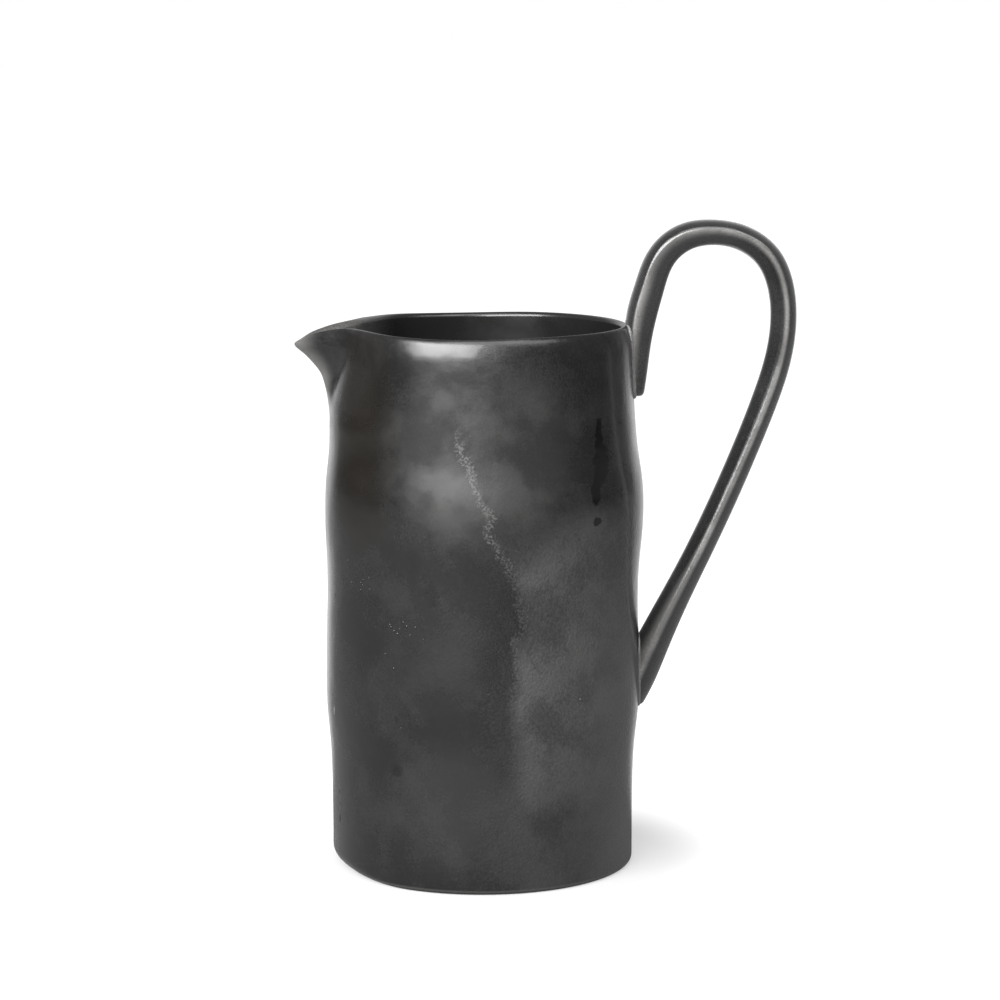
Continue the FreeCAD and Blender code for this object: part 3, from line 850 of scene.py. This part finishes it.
class Glaze:
    """A satin glaze in the making: its textures, and its colour, roughness and relief so far."""

    def __init__(self, name, ground):
        self.material, self.nodes = new_material(name)
        nodes = self.nodes
        self.place = nodes.scaled(nodes.add("ShaderNodeTexCoord", {}, {}, "Object"), 1.0 / MM)
        self.cloud = nodes.ease(noise(nodes, self.place, CLOUD_SIZE, CLOUD_DETAIL), *CLOUD_RANGE)
        self.grain = noise(nodes, self.place, GRAIN_SIZE)
        self.lumps = noise(nodes, self.place, LUMP_SIZE)
        self.peel = noise(nodes, self.place, PEEL_SIZE, PEEL_DETAIL)
        self.colour = ground
        dull = self.cloud * CLOUD_DULLING + self.grain * GRAIN_DULLING
        self.roughness = nodes.ease(dull, *DULLING_RANGE, *ROUGHNESS_RANGE)
        self.relief = self.lumps * LUMP_RELIEF

    def paint(self, share, colour):
        """Lays a colour over what is there, as thickly as share says."""
        self.colour = self.nodes.mix_colours(share, self.colour, colour)

    def shaken(self, size, detail, reach):
        """Places moved a little at random, which give a mark a ragged edge."""
        chance = noise(self.nodes, self.place, size, detail).also("Color")
        moved = self.nodes.vector("SUBTRACT", chance, (NOISE_MIDDLE, NOISE_MIDDLE, NOISE_MIDDLE))
        return self.nodes.vector("ADD", self.place, self.nodes.scaled(moved, reach))

    def finish(self, sheen=0.0):
        """Ends the material, with its relief and its clear coat."""
        nodes = self.nodes
        bump = nodes.add("ShaderNodeBump", {}, {"Strength": 1.0, "Distance": MM, "Height": self.relief})
        inputs = {"Base Color": self.colour, "Roughness": self.roughness, "Normal": bump,
                  "Coat Weight": COAT_SHARE, "Coat Roughness": COAT_ROUGHNESS, "Sheen Weight": sheen}
        shader = nodes.add("ShaderNodeBsdfPrincipled", {}, inputs)
        nodes.add("ShaderNodeOutputMaterial", {}, {"Surface": shader})
        return self.material


class VesselGlaze(Glaze):
    """A glaze of the vessel, whose marks go by their place on it."""

    def __init__(self, name, ground):
        super().__init__(name, ground)
        self.x, self.y, self.height = self.nodes.axes(self.place)


# Shares of thin glaze that the clouds, grains and lumps show in the charcoal. Where a range below has
# four numbers, the last two are what the first two are turned into
CLOUD_THINNING = 0.2
GRAIN_THINNING = 0.7
LUMP_THINNING = 0.35


def mottle(glaze):
    """Thins the charcoal unevenly, so that it looks clouded and finely pitted."""
    thin = glaze.cloud * CLOUD_THINNING + (glaze.grain - NOISE_MIDDLE) * GRAIN_THINNING
    glaze.paint(thin + (glaze.lumps - NOISE_MIDDLE) * LUMP_THINNING, THIN_GLAZE)


# The painted brown reflection beside the spout: middle and reach in millimetres, and softness of its
# edge
BROWN_REFLECTION_PATCH = ((-45.0, -36.0, 168.0), (13.0, 26.0, 38.0), 0.6)
BROWN_GLOSS = 0.04


def painted_brown_reflection(glaze, ragged):
    """A painted brown reflection, a little glossier, on the wall beside the spout."""
    brown = spot(glaze.nodes, ragged, *BROWN_REFLECTION_PATCH)
    # painted brown reflection beside the spout
    glaze.paint(brown, PAINTED_BROWN_REFLECTION)
    glaze.roughness = glaze.roughness - brown * BROWN_GLOSS


# Clouds on the front, each with its middle, reach and softness, and its share of the colour. The pale
# cloud is mottled glaze and partly a painted reflection of the key light
PALE_CLOUD_AND_REFLECTION = ((1.0, -58.0, 164.0), (34.0, 30.0, 30.0), 0.3)
PALE_MOTTLE = (0.0, 0.8, 0.55, 1.0)
PALE_SHARE = 0.58
PALE_ROUGHNESS = 0.10
DARK_SHADE = ((-14.0, -57.0, 88.0), (22.0, 30.0, 15.0), 0.5)
DARK_SHARE = 0.7
LOW_CLOUD = ((-9.0, -57.0, 34.0), (24.0, 30.0, 22.0), 0.5)
LOW_SHARE = 0.3


def cloud_the_front(glaze, ragged):
    """A pale dull cloud high up, partly a painted reflection of the key light, a dark shade in the
    middle and a faint cloud low down.
    """
    nodes = glaze.nodes
    pale = spot(nodes, ragged, *PALE_CLOUD_AND_REFLECTION) * nodes.ease(glaze.cloud, *PALE_MOTTLE)
    # The pale cloud: mottled glaze, partly a painted reflection of the key light
    glaze.paint(pale * PALE_SHARE, THIN_GLAZE)
    glaze.roughness = glaze.roughness + pale * PALE_ROUGHNESS
    glaze.paint(spot(nodes, ragged, *DARK_SHADE) * DARK_SHARE, CHARCOAL)
    glaze.paint(spot(nodes, ragged, *LOW_CLOUD) * LOW_SHARE, THIN_GLAZE)


# The streak's path down the front: x at its top, and how far it shifts while it goes down from the
# upper to the lower of two heights. Then how much it wavers
STREAK_X = -6.2
STREAK_SLANT = (104.0, 166.0)
STREAK_SWING = 21.0
STREAK_BEND = (77.0, 100.0)
STREAK_RETURN = -4.0
FOOT_TURN = (8.0, 72.0)
FOOT_SHIFT = 7.0
STREAK_WAVE = 12.0
STREAK_JITTER = 5.0


def beside_streak(glaze):
    """Distance to the right of the streak's path, which wavers as it goes down."""
    nodes = glaze.nodes
    path = STREAK_X + nodes.ease(glaze.height, *STREAK_SLANT, STREAK_SWING, 0.0)
    path = path + nodes.ease(glaze.height, *STREAK_BEND, STREAK_RETURN, 0.0)
    path = path + nodes.ease(glaze.height, *FOOT_TURN, FOOT_SHIFT, 0.0)
    path = path + (glaze.lumps - NOISE_MIDDLE) * STREAK_WAVE
    path = path + (glaze.peel - NOISE_MIDDLE) * STREAK_JITTER
    return glaze.x - path


# The matt side: it starts this far beside the streak's path, at the foot and higher up, and is full
# at its end. Its upper edge climbs to the right, and it is thinner near the foot
# Its paler colour is matt glaze and partly painted light, for the side of a soft ridge that faces the
# light
MATT_STARTS = (-16.0, -2.5)
MATT_END = 5.0
MATT_CLIMB = (8.0, 40.0, 0.0, 16.0)
MATT_TOP = (110.0, 134.0)
MATT_FOOT = (14.0, 58.0, 0.3, 1.0)
MATT_GRAIN = 0.3
MATT_PEEL = 0.4
MATT_CLOUD = 0.3
MATT_MOTTLE = (0.25, 0.7, 0.35, 1.15)
MATT_ROUGHNESS = 0.14


def matt_side_and_painted_light(glaze, beside, front):
    """Matt grainy glaze on the right of the streak, weaker near the foot, and partly painted light."""
    nodes = glaze.nodes
    start = nodes.ease(glaze.height, *FOOT_TURN, *MATT_STARTS)
    matt = nodes.ease(beside, start, MATT_END) * front
    under_edge = glaze.height - nodes.ease(glaze.x, *MATT_CLIMB)
    matt = matt * nodes.ease(under_edge, *MATT_TOP, 1.0, 0.0)
    matt = matt * nodes.ease(glaze.height, *MATT_FOOT)
    uneven = glaze.grain * MATT_GRAIN + glaze.peel * MATT_PEEL + glaze.cloud * MATT_CLOUD
    # paler colour: matt glaze and painted light on the lit side of the soft ridge
    glaze.paint(matt * nodes.ease(uneven, *MATT_MOTTLE), MATT_GLAZE_AND_PAINTED_LIGHT)
    glaze.roughness = glaze.roughness + matt * MATT_ROUGHNESS


# The streak itself: half its width, the heights over which it fades, and its grain. Its pale colour is
# partly a painted highlight along a soft ridge
STREAK_WIDTHS = (0.3, 2.1)
STREAK_FADE = (112.0, 138.0, 0.3, 1.0)
STREAK_FOOT = (66.0, 84.0)
STREAK_TOP = (164.0, 178.0)
STREAK_GRAIN = (0.42, 0.62)
STREAK_SHARE = 0.32
STREAK_ROUGHNESS = 0.08
STREAK_RELIEF = 0.06


def pale_streak_and_highlight(glaze, beside, front):
    """The thin, pale and grainy streak down the front, a little proud of the wall. Its pale colour is
    partly a painted highlight along a soft ridge.
    """
    nodes = glaze.nodes
    streak = nodes.ease(abs(beside), *STREAK_WIDTHS, 1.0, 0.0) * front
    streak = streak * nodes.ease(glaze.height, *STREAK_FADE)
    streak = streak * nodes.ease(glaze.height, *STREAK_FOOT)
    streak = streak * nodes.ease(glaze.height, *STREAK_TOP, 1.0, 0.0)
    # pale colour: grainy glaze and a painted highlight along the soft ridge
    glaze.paint(streak * nodes.ease(glaze.grain, *STREAK_GRAIN) * STREAK_SHARE, WORN_GLAZE_AND_HIGHLIGHT)
    glaze.roughness = glaze.roughness + streak * STREAK_ROUGHNESS
    glaze.relief = glaze.relief + streak * glaze.grain * STREAK_RELIEF


# Pooled glaze: the drip in three lengths with the drop under it, and three dark blotches
DRIP_PLACES = [((42.9, -38.5, 168.0), (1.4, 14.0, 7.5)), ((43.8, -38.5, 158.0), (2.7, 14.0, 7.5)),
               ((41.8, -38.5, 149.0), (1.7, 14.0, 6.5)), ((42.3, -41.0, 137.6), (1.3, 9.0, 1.6))]
DRIP_SOFTNESS = 0.15
DRIP_ROUGHNESS = 0.14
BLOTCH_PLACES = [((-18.3, -56.0, 112.0), (2.6, 9.0, 4.2)), ((-31.6, -49.5, 45.4), (2.2, 9.0, 2.2)),
                 ((-31.3, -49.5, 65.0), (1.0, 6.0, 1.2))]
BLOTCH_SOFTNESS = 0.5
BLOTCH_SHARE = 0.7


def pooled_drip(glaze, torn):
    """The dark glossy drip and the blotches. Gives the drip, which the peeled skin leaves out."""
    pooled = spots(glaze.nodes, torn, DRIP_PLACES, DRIP_SOFTNESS)
    blotches = spots(glaze.nodes, torn, BLOTCH_PLACES, BLOTCH_SOFTNESS) * BLOTCH_SHARE
    glaze.paint(pooled.larger(blotches), POOLED_GLAZE)
    glaze.roughness = glaze.roughness * (1.0 - pooled) + pooled * DRIP_ROUGHNESS
    return pooled


# Peeled skin, strongest on the low right of the front, and the ripples in it
PEEL_ACROSS = (-10.0, 14.0, 0.04, 0.28)
PEEL_UP = (116.0, 150.0, 1.0, 0.2)
PEEL_BACK = (-20.0, 15.0, 1.0, 0.3)
RIPPLE_PLACE = ((48.0, -32.0, 82.0), (13.0, 34.0, 20.0), 0.5)
RIPPLE_SIZE = 1.7
RIPPLE_DETAIL = 1.0
RIPPLE_STRETCH = (0.28, 0.28, 1.0)
RIPPLE_RELIEF = 0.07


def peeled_skin(glaze, pooled):
    """Fine relief like orange peel, but for the drip, with level ripples in one place."""
    nodes = glaze.nodes
    peeled = nodes.ease(glaze.x, *PEEL_ACROSS) * nodes.ease(glaze.height, *PEEL_UP)
    peeled = peeled * nodes.ease(glaze.y, *PEEL_BACK)
    ripples = noise(nodes, glaze.place, RIPPLE_SIZE, RIPPLE_DETAIL, RIPPLE_STRETCH)
    ripples = ripples * spot(nodes, glaze.place, *RIPPLE_PLACE)
    glaze.relief = glaze.relief + glaze.peel * peeled * (1.0 - pooled) + ripples * RIPPLE_RELIEF


# The wall under the rim: over which heights it is lumpier and duller
RIM_RANGE = (184.0, 198.0)
RIM_MOTTLE = 0.12
RIM_ROUGHNESS = 0.01
RIM_RELIEF = 0.35


def lumpy_rim(glaze):
    """Lumps under the rim, which break up the light on it."""
    rim = glaze.nodes.ease(glaze.height, *RIM_RANGE)
    glaze.roughness = glaze.roughness + rim * (glaze.lumps * RIM_MOTTLE + RIM_ROUGHNESS)
    glaze.relief = glaze.relief + glaze.lumps * rim * RIM_RELIEF


# The spout's keel: its half width, and where along x and up a painted reflection lightens it
KEEL_WIDTHS = (1.0, 9.0)
KEEL_RANGE = (-54.0, -60.0)
KEEL_HEIGHTS = (166.0, 178.0)
KEEL_SHARE = 0.65


def painted_reflection_on_keel(glaze):
    """A pale painted reflection along the underside of the spout."""
    nodes = glaze.nodes
    keel = nodes.ease(abs(glaze.y), *KEEL_WIDTHS, 1.0, 0.0) * nodes.ease(glaze.x, *KEEL_RANGE)
    # painted reflection along the keel
    glaze.paint(keel * nodes.ease(glaze.height, *KEEL_HEIGHTS) * KEEL_SHARE, WORN_GLAZE_AND_HIGHLIGHT)


# The low right of the front: from where to where painted light makes it pale, and by which share
LOW_RIGHT_RANGE = (28.0, 56.0)
LOW_RIGHT_HEIGHTS = (124.0, 96.0)
LOW_RIGHT_SHARE = 0.4


def painted_light_low_right(glaze, front):
    """Painted light under the handle, on the side of the front."""
    nodes = glaze.nodes
    low_right = nodes.ease(glaze.x, *LOW_RIGHT_RANGE) * nodes.ease(glaze.height, *LOW_RIGHT_HEIGHTS)
    # painted light on the low right of the front
    glaze.paint(low_right * front * LOW_RIGHT_SHARE, PALE_LINING_AND_PAINTED_LIGHT)


# The painted reflection round the foot: its height, and the half widths of its middle and of all of it
FOOT_LINE = 1.4
FOOT_LINE_WIDTHS = (0.1, 0.7)
FOOT_LINE_SHARE = 0.5


def painted_reflection_round_foot(glaze):
    """A thin painted reflection of the white floor round the foot."""
    from_line = abs(glaze.height - FOOT_LINE)
    # painted reflection round the foot
    glaze.paint(glaze.nodes.ease(from_line, *FOOT_LINE_WIDTHS, FOOT_LINE_SHARE, 0.0), PALE_LINING_AND_PAINTED_LIGHT)


# Where the marks of the front fade out towards the back, along y, and how ragged edges are: size,
# detail and reach of what shakes them
FRONT_RANGE = (-20.0, 5.0)
RAGGED_EDGE = (7.0, 3.0, 9.0)
TORN_EDGE = (3.0, 2.0, 3.0)


def outside_glaze():
    """The vessel's outside: charcoal with the marks that glazing and firing left on it, and with painted
    light and reflections.
    """
    glaze = VesselGlaze("clouded_charcoal_glaze", CHARCOAL)
    front = glaze.nodes.ease(glaze.y, *FRONT_RANGE, 1.0, 0.0)
    ragged = glaze.shaken(*RAGGED_EDGE)
    torn = glaze.shaken(*TORN_EDGE)
    mottle(glaze)
    painted_brown_reflection(glaze, ragged)
    cloud_the_front(glaze, ragged)
    beside = beside_streak(glaze)
    matt_side_and_painted_light(glaze, beside, front)
    pale_streak_and_highlight(glaze, beside, front)
    pooled = pooled_drip(glaze, torn)
    peeled_skin(glaze, pooled)
    lumpy_rim(glaze)
    painted_reflection_on_keel(glaze)
    painted_light_low_right(glaze, front)
    painted_reflection_round_foot(glaze)
    return glaze.finish()


# The lining: pale inside the spout along x, partly as a painted reflection, and painted light towards
# the floor
LINING_RANGE = (-33.0, -47.0)
LINING_MOTTLE = (0.3, 0.7, 0.5, 1.0)
LINING_ROUGHNESS = 0.1
DEEP_RANGE = (184.0, 130.0)


def lining_glaze():
    """The vessel's inside: dark under the rim, paler in the spout, partly as a painted reflection, and
    brighter deep down with painted light.
    """
    glaze = VesselGlaze("dark_inside_glaze", INSIDE_GLAZE)
    nodes = glaze.nodes
    pale = nodes.ease(glaze.x, *LINING_RANGE)
    # paler in the spout: grainy glaze and partly a painted reflection of the key light
    glaze.paint(pale * nodes.ease(glaze.grain, *LINING_MOTTLE), PALE_LINING_AND_PAINTED_LIGHT)
    # painted light deep inside, where little light reaches
    glaze.paint(nodes.ease(glaze.height, *DEEP_RANGE), PAINTED_LIGHT_DEEP_DOWN)
    glaze.roughness = glaze.roughness + pale * LINING_ROUGHNESS
    return glaze.finish()


# The handle's glaze: how unevenly its ridge is painted pale, as wear and painted highlight, and its
# peeled skin, gloss and soft sheen
RIDGE_MOTTLE = (0.25, 0.7, 0.5, 0.85)
HANDLE_PEEL = 0.04
HANDLE_GLOSS = 0.04
HANDLE_SHEEN = 0.25


def ridge_wear_and_highlight_glaze():
    """The handle's glaze, pale where its own rule noted the ridge: partly worn glaze, partly a painted
    highlight.
    """
    glaze = Glaze("worn_and_highlit_handle_glaze", CHARCOAL)
    nodes = glaze.nodes
    mottle(glaze)
    ridge = nodes.add("ShaderNodeAttribute", {"attribute_name": "ridge"}, {}, "Fac")
    uneven = (glaze.grain + glaze.cloud) / 2.0
    # pale ridge: worn glaze and a painted highlight
    glaze.paint(ridge * nodes.ease(uneven, *RIDGE_MOTTLE), WORN_GLAZE_AND_HIGHLIGHT)
    glaze.relief = glaze.relief + glaze.peel * HANDLE_PEEL
    glaze.roughness = glaze.roughness - HANDLE_GLOSS
    return glaze.finish(HANDLE_SHEEN)


# A face under the seam whose normal points up by more than this belongs to the floor's top
UPWARD_LEAST = 0.5


def glaze_vessel(piece, outside, inside):
    """Gives the faces that look into the jug the lining's glaze, and all others the outside's."""
    piece.data.materials.append(outside)
    piece.data.materials.append(inside)
    for face in piece.data.polygons:
        x, y, z = face.center
        outward = face.normal.x * x + face.normal.y * y
        upward = face.normal.z > UPWARD_LEAST and z / MM < SEAM_HEIGHT
        if upward or (outward < 0 and z / MM > FLOOR_HEIGHT):
            face.material_index = 1
    return piece


wall_glaze = outside_glaze()
inside_glaze = lining_glaze()
handle_glaze = ridge_wear_and_highlight_glaze()

# Each piece with the node that it replaces and its slot. The pips stand on the wall and replace none
PIECES = [
    (glaze_vessel(make_body_wall(), wall_glaze, inside_glaze), "body_wall", "dark_glaze"),
    (glaze_vessel(make_spout(), wall_glaze, inside_glaze), "spout", "dark_glaze"),
    (glaze_vessel(make_base(), wall_glaze, inside_glaze), "base", "dark_glaze"),
    (make_handle(handle_glaze), "handle", "handle_glaze"),
    (make_upper_slip(handle_glaze), "upper_joint", "handle_glaze"),
    (make_lower_slip(handle_glaze), "lower_joint", "handle_glaze"),
    (make_pips(wall_glaze), None, "dark_glaze"),
]
for piece, node, slot in PIECES:
    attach(piece, "root")
    if node:
        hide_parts(node)

# The floor, in metres: grey paper that is lifted to white for the camera alone, less so near the
# jug, so that its own shadow stays. Behind the jug the paper also glows in reflections
FLOOR_HALF = 14.0
PAPER_COLOUR = (0.26, 0.26, 0.26, 1)
SHADOW_CENTRE = (0.012, 0.0, 0.0)
SHADOW_REACH = (0.056, 0.106)
PAPER_LIFT = (0.53, 1.0)
BEHIND_RANGE = (0.64, 0.93)


def white_paper():
    material, nodes = new_material("white_paper")
    position = nodes.add("ShaderNodeTexCoord", {}, {}, "Object")
    distance = nodes.length(nodes.vector("SUBTRACT", position, SHADOW_CENTRE))
    seen = nodes.add("ShaderNodeLightPath", {}, {}, "Is Camera Ray")
    _, y, _ = nodes.axes(position)
    behind = nodes.ease(y / distance, *BEHIND_RANGE)
    lift = nodes.ease(distance, *SHADOW_REACH, *PAPER_LIFT) * seen + behind * seen.also("Is Glossy Ray")
    paper = nodes.add("ShaderNodeBsdfDiffuse", {}, {"Color": PAPER_COLOUR})
    glow = nodes.add("ShaderNodeEmission", {}, {"Strength": lift})
    both = nodes.add("ShaderNodeAddShader", {}, {0: paper, 1: glow})
    nodes.add("ShaderNodeOutputMaterial", {}, {"Surface": both})
    return material


def make_floor():
    corners = [(-1, -1), (1, -1), (1, 1), (-1, 1)]
    mesh = bpy.data.meshes.new("floor")
    mesh.from_pydata([(x * FLOOR_HALF, y * FLOOR_HALF, 0) for x, y in corners], [], [(0, 1, 2, 3)])
    mesh.materials.append(white_paper())
    floor = bpy.data.objects.new("floor", mesh)
    bpy.context.scene.collection.objects.link(floor)


make_floor()

# The room: pure white as the camera sees it, dim elsewhere, and brighter towards the back
DIM_ROOM = (0.22, 0.22, 0.225, 1)
BRIGHT_BACKDROP = (0.6, 0.6, 0.605, 1)
BACKDROP_SPREAD = (0.66, 0.95)
WHITE = (1.0, 1.0, 1.0, 1)


def make_room():
    world = bpy.data.worlds.new("studio")
    bpy.context.scene.world = world
    world.use_nodes = True
    nodes = Nodes(world.node_tree)
    seen = nodes.add("ShaderNodeLightPath", {}, {}, "Is Camera Ray")
    _, backwards, _ = nodes.axes(nodes.add("ShaderNodeTexCoord", {}, {}, "Generated"))
    glow = nodes.mix_colours(nodes.ease(backwards, *BACKDROP_SPREAD), DIM_ROOM, BRIGHT_BACKDROP)
    soft = nodes.add("ShaderNodeBackground", {}, {"Color": glow})
    white = nodes.add("ShaderNodeBackground", {}, {"Color": WHITE})
    both = nodes.add("ShaderNodeMixShader", {}, {0: seen, 1: soft, 2: white})
    nodes.add("ShaderNodeOutputWorld", {}, {"Surface": both})


make_room()

# The lights: place and aim in metres, width and height of the softbox, and power in watts
LIGHTS = {
    "key_softbox": ((-0.72, -1.35, 0.95), (0.0, 0.0, 0.12), (1.5, 1.0), 70.0),
    "key_spill": ((-1.15, -0.85, 1.45), (0.0, 0.0, 0.15), (0.7, 0.7), 7.0),
    "top_softbox": ((0.05, -0.75, 1.5), (0.0, 0.0, 0.15), (1.3, 0.9), 12.0),
    "side_softbox": ((1.0, -1.05, 1.4), (0.0, 0.0, 0.12), (1.2, 0.6), 8.0),
}


def make_softbox(name, stand, aim, size, power):
    lamp = bpy.data.lights.new(name, "AREA")
    lamp.shape = "RECTANGLE"
    lamp.size, lamp.size_y = size
    lamp.energy = power
    holder = bpy.data.objects.new(name, lamp)
    holder.location = stand
    holder.rotation_euler = (Vector(aim) - Vector(stand)).to_track_quat("-Z", "Y").to_euler()
    bpy.context.scene.collection.objects.link(holder)


for light_name, light in LIGHTS.items():
    make_softbox(light_name, *light)

# The camera: its place in metres, how far it looks down in degrees, and its lens in millimetres
CAMERA_PLACE = (0.0068, -1.242, 0.328)
CAMERA_PITCH = 8.66
CAMERA_LENS = 119.34
SENSOR_WIDTH = 36.0


def make_camera():
    data = bpy.data.cameras.new("camera")
    data.lens = CAMERA_LENS
    data.sensor_width = SENSOR_WIDTH
    camera = bpy.data.objects.new("camera", data)
    camera.location = CAMERA_PLACE
    camera.rotation_euler = (math.radians(90 - CAMERA_PITCH), 0, 0)
    bpy.context.scene.collection.objects.link(camera)
    return camera


bpy.context.scene.camera = make_camera()
bpy.context.scene.view_settings.view_transform = "Standard"
